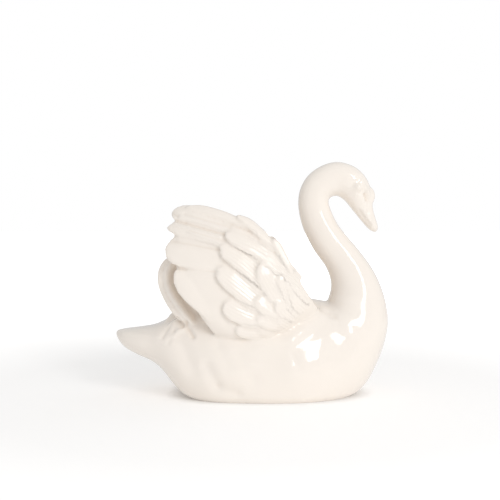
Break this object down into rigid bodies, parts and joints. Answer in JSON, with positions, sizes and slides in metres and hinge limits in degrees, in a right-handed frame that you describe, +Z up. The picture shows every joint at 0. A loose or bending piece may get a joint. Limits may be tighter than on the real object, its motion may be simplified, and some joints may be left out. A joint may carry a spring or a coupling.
{
  "type": "swan figurine",
  "caption": "Glazed ceramic swan with an S-shaped neck, raised feathered wings, a pointed tail and a flat base, cast as one piece.",
  "frame": {"origin": "centre of the bounding box, on the flat base", "axes": "+X towards the bill, +Y to the swan's left, +Z up from the base"},
  "size_m": [0.1, 0.0531, 0.085],
  "materials": {
    "glaze": "glossy ivory white glaze"
  },
  "bodies": {
    "root": {"swan": "glaze"}
  },
  "joints": []
}
